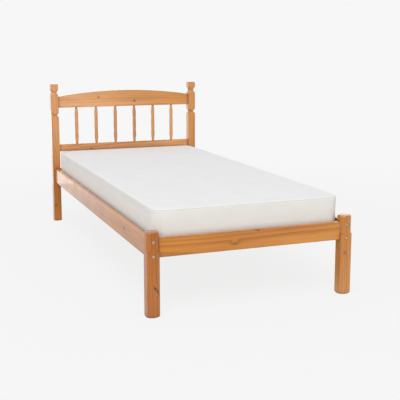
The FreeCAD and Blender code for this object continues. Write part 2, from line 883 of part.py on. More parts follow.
# ---- All nodes ----------------------------------------------------------------
def build_nodes():
    """Every node's name with its solid, or the list of solids that share the node."""
    nodes = {
        "head_post_left": head_post(-1),
        "head_post_right": head_post(1),
        "foot_post_left": foot_post(-1),
        "foot_post_right": foot_post(1),
        "side_rail_left": side_rail(-1),
        "side_rail_right": side_rail(1),
        "foot_rail": foot_rail(),
        "head_base_rail": head_base_rail(),
        "headboard_lower_rail": headboard_lower_rail(),
        "headboard_top_rail": headboard_top_rail(),
        "slat_ledge_left": slat_ledge(-1),
        "slat_ledge_right": slat_ledge(1),
        "mattress": mattress(),
        "foot_post_bolts": post_bolts(foot_front, 1, foot_post_side),
        "head_post_bolts": post_bolts(head_back, -1, head_post_side),
        "barrel_nuts": barrel_nuts(),
        "slat_screws": slat_screws(),
        "ledge_screws": ledge_screws(),
        "side_rail_dowels": side_rail_dowels(),
        "foot_rail_dowels": rail_dowels(foot_post_inner_x, foot_rail_y, end_rail_dowel_heights),
        "head_base_rail_dowels": rail_dowels(
            head_post_inner_x, head_post_y, end_rail_dowel_heights
        ),
        "lower_rail_dowels": rail_dowels(
            head_post_inner_x, head_post_y, lower_rail_dowel_heights
        ),
        "top_rail_dowels": rail_dowels(head_post_inner_x, head_post_y, top_rail_dowel_heights),
    }
    for number, place in enumerate(spindle_places(), start=1):
        nodes[f"spindle_{number}"] = spindle(place)
    for number, place in enumerate(slat_places(), start=1):
        nodes[f"slat_{number:02d}"] = slat(place)
    return nodes


def write_nodes(nodes):
    os.makedirs("parts", exist_ok=True)
    for name, solids in nodes.items():
        shape = Part.makeCompound(solids) if isinstance(solids, list) else solids
        shape.exportStep(f"parts/{name}.step")


write_nodes(build_nodes())
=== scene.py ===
import math
import random
from collections import namedtuple

import bmesh
import bpy
from bpy.props import FloatProperty, FloatVectorProperty, IntProperty, PointerProperty
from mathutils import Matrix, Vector


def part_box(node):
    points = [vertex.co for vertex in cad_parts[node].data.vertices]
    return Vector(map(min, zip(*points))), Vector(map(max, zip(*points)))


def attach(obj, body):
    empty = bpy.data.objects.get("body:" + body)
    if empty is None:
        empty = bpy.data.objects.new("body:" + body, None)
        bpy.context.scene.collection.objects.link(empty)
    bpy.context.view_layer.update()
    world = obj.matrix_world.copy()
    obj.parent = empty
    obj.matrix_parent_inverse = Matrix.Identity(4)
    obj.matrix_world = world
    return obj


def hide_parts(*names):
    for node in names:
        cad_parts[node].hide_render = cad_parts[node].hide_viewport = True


# Finishes for a single bed: lacquered honey pine, a plain slatted base, yellow zinc
# hardware and a white knitted mattress.  Lengths are in metres, in the frame of the
# construction model: X across the bed, Y from the foot end to the headboard, Z up, origin
# on the floor.

bl_info = {
    "name": "Spindle Bed Finish",
    "version": (1, 0, 0),
    "blender": (4, 5, 0),
    "location": "3D View > Sidebar > Bed",
    "description": "Dresses a single pine bed in lacquer, knitted cover and zinc",
    "category": "Object",
}

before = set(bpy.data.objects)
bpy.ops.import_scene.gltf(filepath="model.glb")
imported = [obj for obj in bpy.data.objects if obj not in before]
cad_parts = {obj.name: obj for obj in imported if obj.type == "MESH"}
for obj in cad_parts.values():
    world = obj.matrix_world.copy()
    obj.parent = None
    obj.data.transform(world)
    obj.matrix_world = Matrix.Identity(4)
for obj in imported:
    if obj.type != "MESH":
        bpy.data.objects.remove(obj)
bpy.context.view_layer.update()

MATTRESS_MARGIN = 0.0006          # the cover's top and underside stay this far inside the solid
MATTRESS_PROUD = 0.0012           # the sides can't swell further than this past the solid
CROWN_REACH = 0.35                # the top is level this far in from its edges
PUCKER_REACH = 0.045              # the small folds fade out this far from a seam
LEVEL_NORMAL = 0.97               # a normal this upright belongs to the top or the underside
X_AXIS, Y_AXIS, Z_AXIS = range(3)

# Pine: noise scales are per metre, twice across the grain and then along it, and reaches
# are in metres.
WANDER_SCALE = (2.6, 2.6, 0.75)
WANDER_REACH = (0.05, 0.05, 0.0)
RIPPLE_SCALE = (38.0, 38.0, 4.5)
RIPPLE_REACH = (0.0035, 0.0035, 0.0)
FIBRE_SCALE = (520.0, 520.0, 11.0)
TONE_SCALE = (11.0, 11.0, 1.6)
YEAR_SCALE = 0.21                 # how fast good and bad years follow each other
YEAR_SPREAD = 2.6                 # how many ring widths they shift a ring
SPRING_END = 0.25                 # shares of one year's growth
SUMMER_FULL = 0.9
SUMMER_END = 0.93
WEAKEST_RING = 0.45
KNOT_RAGGED = 0.18                # unevenness of a knot's edge, as a share of its half width
KNOT_RINGS = 17.0                 # turns of its own rings per half width, in radians
KNOT_FALL = -0.22                 # how fast the bulge round a knot dies away
KNOT_BULGE = 1.3                  # how far a knot pushes the rings, in half widths

# Painted shade in joints and recesses, with stain gathered in the joints, a painted dark reflection
# along arrises, and wear: shares of the full effect, and reaches in metres.
ARRIS_REACH = 0.006
ARRIS_DARK_REFLECTION = 0.6
JOINT_REACH = 0.020
JOINT_SHADE_AND_STAIN = 0.75
RUBBED_SHARE = 0.25
RECESS_REACH = 0.005
STITCH = 0.0022                   # pitch of the knit

# A knot: the middle of its mark on the wood, the axis that its branch follows, the half
# width of the mark, how much longer it is along the piece, its turn in degrees and how
# dark it is.
Knot = namedtuple("Knot", "place branch radius stretch turn strength", defaults=(1.3, 0.0, 1.0))


# ---- Sizes and colours that a user would change ------------------------------------
def colour_property(name, description, default):
    return FloatVectorProperty(
        name=name, description=description, subtype="COLOR", size=3,
        min=0.0, max=1.0, default=default,
    )


def length_property(name, description, default):
    return FloatProperty(
        name=name, description=description, subtype="DISTANCE", unit="LENGTH",
        min=0.0, default=default,
    )


def share_property(name, description, default):
    return FloatProperty(
        name=name, description=description, subtype="FACTOR", min=0.0, max=1.0, default=default,
    )


class PineSettings(bpy.types.PropertyGroup):
    pale_stain: colour_property("Pale stain", "Lightest of the lacquered pieces", (0.92, 0.49, 0.23))
    honey_stain: colour_property("Honey stain", "Middle of the lacquered pieces", (0.71, 0.27, 0.026))
    deep_stain: colour_property("Deep stain", "Darkest of the lacquered pieces", (0.52, 0.155, 0.006))
    ring_shade: colour_property(
        "Ring shade", "What a growth ring leaves of the colour round it", (0.55, 0.42, 0.35)
    )
    knot_wood: colour_property("Knot", "Heart of a knot", (0.065, 0.014, 0.004))
    # This colour paints shade into the joints, where stain also gathers, and a dark reflection along
    # the arrises.
    shade_and_grime: colour_property("Shade and grime", "What a joint or an arris leaves of the colour", (0.42, 0.30, 0.24))
    bare_wood: colour_property("Bare pine", "Planed pine without stain", (0.74, 0.54, 0.32))
    dark_wood: colour_property("Bare heartwood", "Planed pine nearer the heart", (0.66, 0.45, 0.24))
    ring_spacing: length_property("Ring spacing", "Distance between growth rings", 0.0042)
    lacquer: share_property("Lacquer", "Weight of the clear coat", 1.0)
    lacquer_roughness: share_property("Lacquer roughness", "Roughness of the clear coat", 0.09)


class CoverSettings(bpy.types.PropertyGroup):
    cover: colour_property("Cover", "Knitted top of the mattress", (0.86, 0.86, 0.865))
    border: colour_property("Border", "Upright sides of the mattress", (0.87, 0.85, 0.81))
    seam: colour_property("Seam", "Thread and shadow in the seam", (0.64, 0.63, 0.60))
    corner: length_property("Corner", "Radius of the four corners, seen from above", 0.057)
    roll: length_property("Edge roll", "Rounding of the long edges", 0.008)
    crown: length_property("Crown", "How much the top rises from its edges", 0.002)
    swell: length_property("Swell", "Most that the filling pushes the cover out", 0.003)
    seam_drop: length_property("Seam drop", "Seam below the flat of the top", 0.0045)
    seam_width: length_property("Seam width", "Half width of the sewn groove", 0.0035)
    seam_depth: length_property("Seam depth", "Depth of the sewn groove", 0.0012)
    stitched_width: length_property("Stitched width", "Half width of the strip the thread holds", 0.005)
    pucker: length_property("Pucker", "Height of the small folds along the seams", 0.0014)
    cell: length_property("Mesh cell", "Cell of the cover's mesh before it is smoothed", 0.034)
    steps: IntProperty(
        name="Steps", description="Simulation steps that fill the cover", min=1, default=20
    )


class HardwareSettings(bpy.types.PropertyGroup):
    zinc: colour_property("Zinc", "Yellow zinc on the bolts, nuts and screws", (0.95, 0.74, 0.46))
    beech: colour_property("Beech", "Dowels", (0.62, 0.40, 0.21))


class StageSettings(bpy.types.PropertyGroup):
    backdrop: colour_property(
        "Backdrop", "Background, and the floor far from the bed", (0.93, 0.93, 0.93)
    )
    floor: colour_property("Floor", "Paint of the floor", (0.80, 0.80, 0.80))
    daylight: FloatProperty(
        name="Daylight", description="Strength of the even light", min=0.0, default=0.72
    )
    key_watts: FloatProperty(
        name="Key lamp", description="Large soft lamp high up beyond the foot end, in watts",
        min=0.0, default=700.0,
    )
    card_watts: FloatProperty(
        name="Low card", description="Bright card that the side rail mirrors, in watts",
        min=0.0, default=0.9,
    )
    wall_watts: FloatProperty(
        name="Back wall", description="Bright wall that the tops of the posts mirror, in watts",
        min=0.0, default=17.0,
    )


SETTINGS = {
    "bed_pine": PineSettings,
    "bed_cover": CoverSettings,
    "bed_hardware": HardwareSettings,
    "bed_stage": StageSettings,
}


# ---- Node trees ---------------------------------------------------------------------
def give(tree, socket, value):
    """Link a socket, or set it to a plain value."""
    if isinstance(value, bpy.types.NodeSocket):
        tree.links.new(value, socket)
    elif socket.type == "RGBA" and len(value) == 3:
        socket.default_value = (*value, 1.0)
    else:
        socket.default_value = value


def add(tree, kind, inputs=None, **settings):
    """A new node with its settings and inputs."""
    node = tree.nodes.new(kind)
    for name, value in settings.items():
        setattr(node, name, value)
    for name, value in (inputs or {}).items():
        give(tree, node.inputs[name], value)
    return node


def maths(tree, operation, *values):
    node = add(tree, "ShaderNodeMath", operation=operation)
    for socket, value in zip(node.inputs, values):
        give(tree, socket, value)
    return node.outputs[0]


def vector_maths(tree, operation, *values):
    node = add(tree, "ShaderNodeVectorMath", operation=operation)
    for socket, value in zip(node.inputs, values):
        give(tree, socket, value)
    return node.outputs["Value" if operation in ("LENGTH", "DOT_PRODUCT") else "Vector"]


def ramp(tree, value, low, high, to_low=0.0, to_high=1.0):
    """A smooth step of a value between two limits."""
    node = add(
        tree, "ShaderNodeMapRange", interpolation_type="SMOOTHSTEP",
        inputs={"Value": value, "From Min": low, "From Max": high, "To Min": to_low, "To Max": to_high},
    )
    return node.outputs["Result"]


def noise(tree, vector, detail=2.0, scale=1.0, output="Fac"):
    node = add(
        tree, "ShaderNodeTexNoise",
        inputs={"Vector": vector, "Scale": scale, "Detail": detail},
    )
    return node.outputs[output]


def stretched(tree, vector, scale):
    """A vector times a scale per axis."""
    return vector_maths(tree, "MULTIPLY", vector, scale)


def blend_colour(tree, share, first, second, mode="MIX"):
    node = add(tree, "ShaderNodeMix", data_type="RGBA", blend_type=mode)
    give(tree, node.inputs["Factor"], share)
    colours = [socket for socket in node.inputs if socket.type == "RGBA"]
    give(tree, colours[0], first)
    give(tree, colours[1], second)
    return next(socket for socket in node.outputs if socket.type == "RGBA")


def new_group(name, inputs, outputs):
    """An empty node group with float, vector or colour sockets, and its two end nodes."""
    kinds = {"value": "NodeSocketFloat", "vector": "NodeSocketVector", "colour": "NodeSocketColor"}
    tree = bpy.data.node_groups.new(name, "ShaderNodeTree")
    for socket, kind in inputs.items():
        tree.interface.new_socket(socket, in_out="INPUT", socket_type=kinds[kind])
    for socket, kind in outputs.items():
        tree.interface.new_socket(socket, in_out="OUTPUT", socket_type=kinds[kind])
    start = tree.nodes.new("NodeGroupInput")
    end = tree.nodes.new("NodeGroupOutput")
    return tree, start.outputs, end.inputs


def use_group(tree, name, **inputs):
    """A node that runs a shared group, which is built on its first use."""
    shared = bpy.data.node_groups.get(name) or GROUP_BUILDERS[name]()
    node = add(tree, "ShaderNodeGroup", node_tree=shared)
    for socket, value in inputs.items():
        give(tree, node.inputs[socket], value)
    return node.outputs


# ---- Shared effects -------------------------------------------------------------------
def build_pine_figure():
    """Growth rings round a heart that runs along Z, in metres, with fibres and broad tone."""
    tree, given, made = new_group(
        "Pine figure",
        {"Vector": "vector", "Bulge": "value", "Spacing": "value"},
        {"Ring": "value", "Fibre": "value", "Tone": "value", "Height": "value"},
    )
    vector = given["Vector"]
    slow = noise(tree, stretched(tree, vector, WANDER_SCALE), detail=1.0, output="Color")
    slow = vector_maths(tree, "SUBTRACT", slow, (0.5, 0.5, 0.5))
    slow = stretched(tree, slow, WANDER_REACH)
    quick = noise(tree, stretched(tree, vector, RIPPLE_SCALE), detail=2.0, output="Color")
    quick = vector_maths(tree, "SUBTRACT", quick, (0.5, 0.5, 0.5))
    quick = stretched(tree, quick, RIPPLE_REACH)
    bent = vector_maths(tree, "ADD", vector_maths(tree, "ADD", vector, slow), quick)
    flat = stretched(tree, bent, (1.0, 1.0, 0.0))
    distance = maths(tree, "ADD", vector_maths(tree, "LENGTH", flat), given["Bulge"])
    count = maths(tree, "DIVIDE", distance, given["Spacing"])
    years = add(
        tree, "ShaderNodeTexNoise", noise_dimensions="1D",
        inputs={"W": count, "Scale": YEAR_SCALE},
    )
    years = maths(tree, "MULTIPLY", years.outputs["Fac"], YEAR_SPREAD)
    count = maths(tree, "ADD", count, years)
    share = maths(tree, "FRACT", count)
    year = maths(tree, "FLOOR", count)
    darkening = ramp(tree, share, SPRING_END, SUMMER_FULL)
    ending = ramp(tree, share, SUMMER_END, 1.0, 1.0, 0.0)
    summer = maths(tree, "MULTIPLY", darkening, ending)
    strength = add(tree, "ShaderNodeTexWhiteNoise", noise_dimensions="1D", inputs={"W": year})
    strength = ramp(tree, strength.outputs["Value"], 0.0, 1.0, WEAKEST_RING, 1.0)
    ring = maths(tree, "MULTIPLY", summer, strength)
    fibre = noise(tree, stretched(tree, vector, FIBRE_SCALE), detail=3.0)
    tone = noise(tree, stretched(tree, vector, TONE_SCALE), detail=2.0)
    raised_ring = maths(tree, "MULTIPLY", ring, 0.5)
    raised_fibre = maths(tree, "MULTIPLY", fibre, 0.5)
    height = maths(tree, "ADD", raised_ring, raised_fibre)
    give(tree, made["Ring"], ring)
    give(tree, made["Fibre"], fibre)
    give(tree, made["Tone"], tone)
    give(tree, made["Height"], height)
    return tree


def build_knot_mark():
    """A knot in a vector that is 1 long at the edge of its mark."""
    tree, given, made = new_group(
        "Knot mark",
        {"Vector": "vector"},
        {"Core": "value", "Halo": "value", "Bulge": "value"},
    )
    ragged = noise(tree, given["Vector"], detail=2.0, scale=2.2)
    ragged = ramp(tree, ragged, 0.3, 0.7, -KNOT_RAGGED, KNOT_RAGGED)
    reach = maths(tree, "ADD", vector_maths(tree, "LENGTH", given["Vector"]), ragged)
    rings = maths(tree, "SINE", maths(tree, "MULTIPLY", reach, KNOT_RINGS))
    rings = ramp(tree, rings, -1.0, 1.0, 0.65, 1.0)
    core = maths(tree, "MULTIPLY", ramp(tree, reach, 0.55, 1.05, 1.0, 0.0), rings)
    halo = ramp(tree, reach, 0.8, 2.6, 1.0, 0.0)
    fall = maths(tree, "MULTIPLY", maths(tree, "MULTIPLY", reach, reach), KNOT_FALL)
    bulge = maths(tree, "EXPONENT", fall)
    give(tree, made["Core"], core)
    give(tree, made["Halo"], halo)
    give(tree, made["Bulge"], bulge)
    return tree


def build_edge_and_rub():
    """A convex edge, and where hands and cloths have rubbed it."""
    tree, given, made = new_group("Edge and rub", {"Vector": "vector"}, {"Edge": "value", "Rub": "value"})
    rounded = add(tree, "ShaderNodeBevel", samples=4, inputs={"Radius": ARRIS_REACH})
    true_normal = add(tree, "ShaderNodeNewGeometry").outputs["Normal"]
    likeness = vector_maths(tree, "DOT_PRODUCT", rounded.outputs["Normal"], true_normal)
    edge = ramp(tree, likeness, 0.998, 0.95)
    patches = ramp(tree, noise(tree, given["Vector"], detail=3.0, scale=60.0), 0.35, 0.7)
    give(tree, made["Edge"], edge)
    give(tree, made["Rub"], maths(tree, "MULTIPLY", edge, patches))
    return tree


def build_crevice():
    """Painted shade in a recess and where two pieces meet; on the wood it also stands for stain
    gathered there.
    """
    tree, given, made = new_group("Crevice", {"Distance": "value"}, {"Shade and grime": "value"})
    shelter = add(
        tree, "ShaderNodeAmbientOcclusion", samples=6, inputs={"Distance": given["Distance"]}
    )
    give(tree, made["Shade and grime"], ramp(tree, shelter.outputs["AO"], 0.40, 0.95, 1.0, 0.0))
    return tree


def build_handling():
    """Faint smears and dust in a gloss surface."""
    tree, given, made = new_group("Handling", {"Vector": "vector"}, {"Smear": "value"})
    broad = noise(tree, given["Vector"], detail=3.0, scale=9.0)
    fine = noise(tree, given["Vector"], detail=2.0, scale=160.0)
    broad_part = maths(tree, "MULTIPLY", broad, 0.7)
    fine_part = maths(tree, "MULTIPLY", fine, 0.3)
    smear = maths(tree, "ADD", broad_part, fine_part)
    give(tree, made["Smear"], smear)
    return tree


def build_knit():
    """A fine knit on faces that look along X, Y or Z, and the soft unevenness of the cover."""
    tree, given, made = new_group(
        "Knit", {"Vector": "vector"}, {"Loop": "value", "Uneven": "value", "Upright": "value"}
    )
    stitch = 2 * math.pi / STITCH
    waves = []
    parts = add(tree, "ShaderNodeSeparateXYZ", inputs={"Vector": given["Vector"]}).outputs
    for part in parts:
        waves.append(maths(tree, "SINE", maths(tree, "MULTIPLY", part, stitch)))
    normal = add(tree, "ShaderNodeNewGeometry").outputs["Normal"]
    normal = vector_maths(tree, "ABSOLUTE", normal)
    facing = add(tree, "ShaderNodeSeparateXYZ", inputs={"Vector": normal})
    pairs = ((Y_AXIS, Z_AXIS), (X_AXIS, Z_AXIS), (X_AXIS, Y_AXIS))
    total = None
    for axis, (first, second) in enumerate(pairs):
        weave = maths(tree, "MULTIPLY", waves[first], waves[second])
        weave = maths(tree, "MULTIPLY", weave, ramp(tree, facing.outputs[axis], 0.5, 0.75))
        total = weave if total is None else maths(tree, "ADD", total, weave)
    fuzz = noise(tree, given["Vector"], detail=2.0, scale=900.0)
    loop = maths(tree, "ADD", ramp(tree, total, -1.0, 1.0), maths(tree, "MULTIPLY", fuzz, 0.5))
    uneven = noise(tree, given["Vector"], detail=3.0, scale=14.0)
    give(tree, made["Loop"], loop)
    give(tree, made["Uneven"], uneven)
    give(tree, made["Upright"], ramp(tree, facing.outputs[Z_AXIS], 0.5, 0.8, 1.0, 0.0))
    return tree


GROUP_BUILDERS = {
    "Pine figure": build_pine_figure,
    "Knot mark": build_knot_mark,
    "Edge and rub": build_edge_and_rub,
    "Crevice": build_crevice,
    "Handling": build_handling,
    "Knit": build_knit,
}


# ---- Materials --------------------------------------------------------------------------
def new_material(name):
    material = bpy.data.materials.new(name)
    material.use_nodes = True
    tree = material.node_tree
    shader = next(node for node in tree.nodes if node.type == "BSDF_PRINCIPLED")
    place = add(tree, "ShaderNodeTexCoord").outputs["Object"]
    return material, tree, shader.inputs, place


def grain_turn(axis):
    """Euler angles of a frame whose Z runs along one axis."""
    quarter = math.pi / 2
    return ((0.0, quarter, 0.0), (-quarter, 0.0, 0.0), (0.0, 0.0, 0.0))[axis]


def seen_from(tree, place, origin, turn=(0.0, 0.0, 0.0), scale=(1.0, 1.0, 1.0)):
    """Coordinates in a frame of their own."""
    node = add(
        tree, "ShaderNodeMapping", vector_type="TEXTURE",
        inputs={"Vector": place, "Location": origin, "Rotation": turn, "Scale": scale},
    )
    return node.outputs["Vector"]


def knot_marks(tree, place, knots, axis):
    """Core, halo and bulge of all the knots of a piece, or plain zeros."""
    core, halo, bulge = 0.0, 0.0, 0.0
    for knot in knots:
        scale = [knot.radius, knot.radius, knot.radius]
        scale[axis] = knot.radius * knot.stretch
        scale[knot.branch] = 0.5
        turn = [0.0, 0.0, 0.0]
        turn[knot.branch] = math.radians(knot.turn)
        mark = use_group(tree, "Knot mark", Vector=seen_from(tree, place, knot.place, turn, scale))
        core = maths(tree, "MAXIMUM", core, maths(tree, "MULTIPLY", mark["Core"], knot.strength))
        halo = maths(tree, "MAXIMUM", halo, maths(tree, "MULTIPLY", mark["Halo"], knot.strength))
        push = maths(tree, "MULTIPLY", mark["Bulge"], KNOT_BULGE * knot.radius)
        bulge = maths(tree, "ADD", bulge, push)
    return core, halo, bulge


def pine_material(name, box, heart, stains, knots, ring_share, growth=1.0):
    """Pine for one piece: the grain runs along its longest side, round the tree's heart,
    which lies at an offset from the middle of the piece.  The stain drifts from one end to
    the other, and fast growth spaces the rings."""
    pine = bpy.context.scene.bed_pine
    low, high = box
    size = high - low
    axis = max(range(3), key=lambda index: size[index])
    material, tree, shader, place = new_material(name)
    along = seen_from(tree, place, (low + high) / 2 + Vector(heart), grain_turn(axis))
    core, halo, bulge = knot_marks(tree, place, knots, axis)
    spacing = pine.ring_spacing * growth
    figure = use_group(tree, "Pine figure", Vector=along, Bulge=bulge, Spacing=spacing)
    shares = [
        maths(tree, "MULTIPLY", figure["Ring"], ring_share),
        ramp(tree, figure["Tone"], 0.38, 0.68, 0.0, 0.42),
        ramp(tree, figure["Fibre"], 0.35, 0.75, 0.0, 0.20),
    ]
    if knots:
        shares.append(maths(tree, "MULTIPLY", halo, 0.5))
    parts = add(tree, "ShaderNodeSeparateXYZ", inputs={"Vector": place}).outputs
    drift = ramp(tree, parts[axis], low[axis], high[axis])
    colour = blend_colour(tree, drift, *stains)
    for share in shares:
        colour = blend_colour(tree, share, colour, pine.ring_shade, "MULTIPLY")
    if knots:
        colour = blend_colour(tree, core, colour, pine.knot_wood)
    return material, tree, shader, place, figure, colour


def stain_colour(depth):
    """Colour of the stain from the palest piece at 0 through honey at 0.5 to the darkest at 1."""
    pine = bpy.context.scene.bed_pine
    if depth < 0.5:
        return Vector(pine.pale_stain).lerp(Vector(pine.honey_stain), 2 * depth)
    return Vector(pine.honey_stain).lerp(Vector(pine.deep_stain), 2 * depth - 1)


def lacquered_pine(node, heart, knots, depths, ring_share=0.7, growth=1.0):
    """Stained pine under clear gloss lacquer, with a depth of stain for each end."""
    pine = bpy.context.scene.bed_pine
    material, tree, shader, place, figure, colour = pine_material(
        f"lacquered_pine_{node}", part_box(node), heart, [stain_colour(depth) for depth in depths],
        knots, ring_share, growth,
    )
    wear = use_group(tree, "Edge and rub", Vector=place)
    shade_and_grime = use_group(tree, "Crevice", Distance=JOINT_REACH)["Shade and grime"]
    # Painted dark reflection along the convex edges.
    on_arris = maths(tree, "MULTIPLY", wear["Edge"], ARRIS_DARK_REFLECTION)
    colour = blend_colour(tree, on_arris, colour, pine.shade_and_grime, "MULTIPLY")
    # Painted shade in the joints, which also stands for stain gathered there.
    in_joint = maths(tree, "MULTIPLY", shade_and_grime, JOINT_SHADE_AND_STAIN)
    colour = blend_colour(tree, in_joint, colour, pine.shade_and_grime, "MULTIPLY")
    rubbed = maths(tree, "MULTIPLY", wear["Rub"], RUBBED_SHARE)
    colour = blend_colour(tree, rubbed, colour, pine.pale_stain)
    smear = use_group(tree, "Handling", Vector=place)["Smear"]
    give(tree, shader["Base Color"], colour)
    give(tree, shader["Roughness"], ramp(tree, smear, 0.3, 0.7, 0.42, 0.55))
    coat = ramp(tree, smear, 0.2, 0.8, pine.lacquer, pine.lacquer * 0.86)
    give(tree, shader["Coat Weight"], coat)
    shader["Specular IOR Level"].default_value = 0.3
    shader["Coat Roughness"].default_value = pine.lacquer_roughness
    shader["Coat IOR"].default_value = 1.6
    bump = add(
        tree, "ShaderNodeBump",
        inputs={"Height": figure["Height"], "Strength": 0.35, "Distance": 0.0004},
    )
    give(tree, shader["Normal"], bump.outputs["Normal"])
    return material


def bare_pine(node, heart, knots):
    """Planed pine without stain or lacquer."""
    pine = bpy.context.scene.bed_pine
    material, tree, shader, place, figure, colour = pine_material(
        f"plain_pine_{node}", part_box(node), heart, (pine.bare_wood, pine.dark_wood), knots, 0.6
    )
    smear = use_group(tree, "Handling", Vector=place)["Smear"]
    give(tree, shader["Base Color"], colour)
    give(tree, shader["Roughness"], ramp(tree, smear, 0.3, 0.7, 0.55, 0.72))
    bump = add(
        tree, "ShaderNodeBump",
        inputs={"Height": figure["Height"], "Strength": 0.5, "Distance": 0.0006},
    )
    give(tree, shader["Normal"], bump.outputs["Normal"])
    return material


def beech_material():
    """Dowel rod with its short dark flecks."""
    material, tree, shader, place = new_material("beech")
    beech = bpy.context.scene.bed_hardware.beech
    flecks = noise(tree, stretched(tree, place, (160.0, 700.0, 700.0)), detail=2.0)
    fleck_colour = [0.6 * part for part in beech]
    colour = blend_colour(tree, ramp(tree, flecks, 0.5, 0.75, 0.0, 0.5), beech, fleck_colour)
    give(tree, shader["Base Color"], colour)
    give(tree, shader["Roughness"], ramp(tree, flecks, 0.3, 0.7, 0.5, 0.65))
    bump = add(
        tree, "ShaderNodeBump", inputs={"Height": flecks, "Strength": 0.3, "Distance": 0.0003}
    )
    give(tree, shader["Normal"], bump.outputs["Normal"])
    return material


def zinc_material():
    """Yellow zinc plating with a fine spangle and dull patches."""
    material, tree, shader, place = new_material("zinc")
    zinc = bpy.context.scene.bed_hardware.zinc
    cells = add(tree, "ShaderNodeTexVoronoi", inputs={"Vector": place, "Scale": 900.0})
    parts = add(tree, "ShaderNodeSeparateColor", inputs={"Color": cells.outputs["Color"]})
    spangle = parts.outputs[0]
    dull = noise(tree, place, detail=3.0, scale=220.0)
    rub = use_group(tree, "Edge and rub", Vector=place)["Rub"]
    # Painted shade in the bolt sockets and other recesses.
    shade_and_grime = use_group(tree, "Crevice", Distance=RECESS_REACH)["Shade and grime"]
    dull_zinc = [0.72 * part for part in zinc]
    rubbed_zinc = (0.80, 0.76, 0.68)
    painted_recess_shade = (0.05, 0.04, 0.03)
    colour = blend_colour(tree, ramp(tree, dull, 0.35, 0.75, 0.0, 0.45), zinc, dull_zinc)
    colour = blend_colour(tree, maths(tree, "MULTIPLY", rub, 0.5), colour, rubbed_zinc)
    colour = blend_colour(tree, maths(tree, "MULTIPLY", shade_and_grime, 0.9), colour, painted_recess_shade)
    give(tree, shader["Base Color"], colour)
    shader["Metallic"].default_value = 0.75
    grain = maths(tree, "MULTIPLY", spangle, 0.08)
    rough = maths(tree, "ADD", ramp(tree, dull, 0.3, 0.8, 0.30, 0.46), grain)
    give(tree, shader["Roughness"], rough)
    bump = add(
        tree, "ShaderNodeBump", inputs={"Height": spangle, "Strength": 0.12, "Distance": 0.0001}
    )
    give(tree, shader["Normal"], bump.outputs["Normal"])
    return material


def cover_material():
    """White knitted cover, warmer on its upright sides and greyer in its seams."""
    material, tree, shader, place = new_material("knitted_cover")
    cover = bpy.context.scene.bed_cover
    knit = use_group(tree, "Knit", Vector=place)
    seam = add(tree, "ShaderNodeAttribute", attribute_name="seam").outputs["Fac"]
    colour = blend_colour(tree, knit["Upright"], cover.cover, cover.border)
    shade = (0.86, 0.86, 0.86)
    between_loops = ramp(tree, knit["Loop"], 0.2, 1.1, 0.5, 0.0)
    colour = blend_colour(tree, between_loops, colour, shade, "MULTIPLY")
    uneven = ramp(tree, knit["Uneven"], 0.4, 0.7, 0.0, 0.14)
    colour = blend_colour(tree, uneven, colour, shade, "MULTIPLY")
    colour = blend_colour(tree, seam, colour, cover.seam)
    give(tree, shader["Base Color"], colour)
    give(tree, shader["Roughness"], ramp(tree, knit["Loop"], 0.0, 1.2, 0.92, 0.78))
    shader["Specular IOR Level"].default_value = 0.25
    shader["Subsurface Weight"].default_value = 0.4
    shader["Subsurface Radius"].default_value = (1.0, 1.0, 1.0)
    shader["Subsurface Scale"].default_value = 0.015
    shader["Sheen Weight"].default_value = 0.15
    shader["Sheen Roughness"].default_value = 0.5
    low = add(
        tree, "ShaderNodeBump",
        inputs={"Height": knit["Uneven"], "Strength": 0.25, "Distance": 0.002},
    )
    fine = add(
        tree, "ShaderNodeBump",
        inputs={
            "Height": knit["Loop"], "Strength": 0.45, "Distance": 0.0006,
            "Normal": low.outputs["Normal"],
        },
    )
    give(tree, shader["Normal"], fine.outputs["Normal"])
    return material


def dress(node, material):
    """Give a construction piece its finish."""
    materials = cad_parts[node].data.materials
    materials.clear()
    materials.append(material)


def chance_heart(node):
    """Where the tree's heart lay for a piece with no finish of its own, by its name alone."""
    chance = random.Random(node)
    angle = chance.uniform(0.0, 2 * math.pi)
    away = chance.uniform(0.03, 0.09)
    return Vector((away * math.cos(angle), chance.uniform(-2.0, 2.0), away * math.sin(angle)))


# ---- Operators: wood ------------------------------------------------------------------------
class BED_OT_posts(bpy.types.Operator):
    """Stain and lacquer the four posts"""

    bl_idname = "bed.finish_posts"
    bl_label = "Finish Posts"

    def execute(self, context):
        foot_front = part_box("foot_post_left")[0].y
        head_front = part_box("head_post_left")[0].y
        foot_left_knots = [
            Knot((-0.4555, foot_front, 0.129), Y_AXIS, 0.0042, 2.0, -52.0),
            Knot((-0.4462, foot_front, 0.1155), Y_AXIS, 0.0036, 2.8, -14.0),
        ]
        foot_right_knots = [Knot((0.449, foot_front, 0.196), Y_AXIS, 0.005, 1.3, 0.0, 0.35)]
        head_left_knots = [Knot((-0.475, head_front, 0.101), Y_AXIS, 0.006, 1.3, 0.0, 0.45)]
        # Each finish: the heart's offset, the knots, the stain at the low and the high end,
        # the strength of the rings and how many times wider than usual they are.
        posts = {
            "foot_post_left": ((0.05, 0.05, 0.4), foot_left_knots, (0.92, 0.98), 0.55, 1.2),
            "foot_post_right": ((-0.06, 0.05, 1.3), foot_right_knots, (0.38, 0.46), 0.55, 1.5),
            "head_post_left": ((0.03, 0.06, 0.7), head_left_knots, (0.62, 0.20), 0.75),
            "head_post_right": ((-0.05, 0.05, 2.1), (), (0.45, 0.32), 0.7),
        }
        for node, finish in posts.items():
            dress(node, lacquered_pine(node, *finish))
        return {"FINISHED"}


